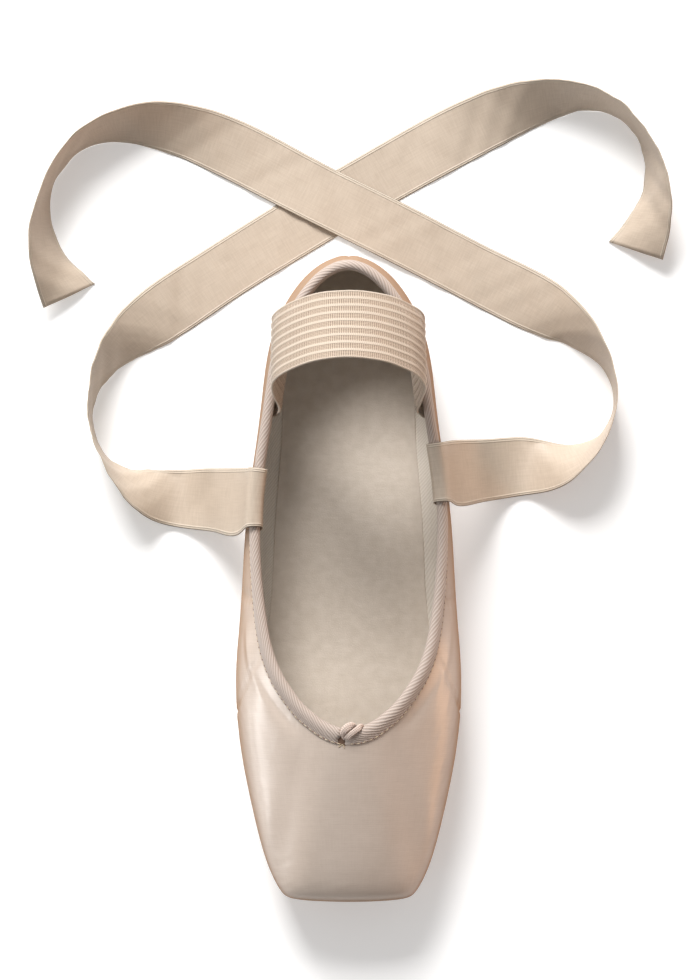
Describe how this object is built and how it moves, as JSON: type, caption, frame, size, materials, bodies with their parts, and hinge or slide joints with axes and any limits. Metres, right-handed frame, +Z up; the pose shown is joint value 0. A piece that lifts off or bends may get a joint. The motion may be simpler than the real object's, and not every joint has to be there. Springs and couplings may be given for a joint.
{
  "type": "pointe shoe",
  "caption": "Satin ballet pointe shoe with a stiff flat-ended toe box, bound drawstring topline, thin leather sole, ankle elastic and loose ribbons, standing on its sole.",
  "frame": {"origin": "middle of the shoe's bounding box in plan, on the floor that the sole stands on; the ribbons and the drawstring's ends don't count", "axes": "+Z up, +Y from the toe to the heel, +X to the right seen from above with the toe nearest"},
  "size_m": [0.2399, 0.3064, 0.101],
  "materials": {
    "satin": "champagne satin over a stiffened box",
    "twill": "matt ribbed cotton twill",
    "leather": "suede-faced natural leather",
    "lining": "plain woven cotton",
    "ribbon": "satin ribbon with corded edges",
    "elastic": "ribbed openwork elastic",
    "drawstring": "flat braided cord"
  },
  "bodies": {
    "root": {"upper": "satin", "binding": "twill", "outsole": "leather", "insole": "lining", "ribbon_left": "ribbon", "ribbon_right": "ribbon", "ankle_elastic": "elastic", "drawstring_left_end": "drawstring", "drawstring_right_end": "drawstring"}
  },
  "joints": []
}
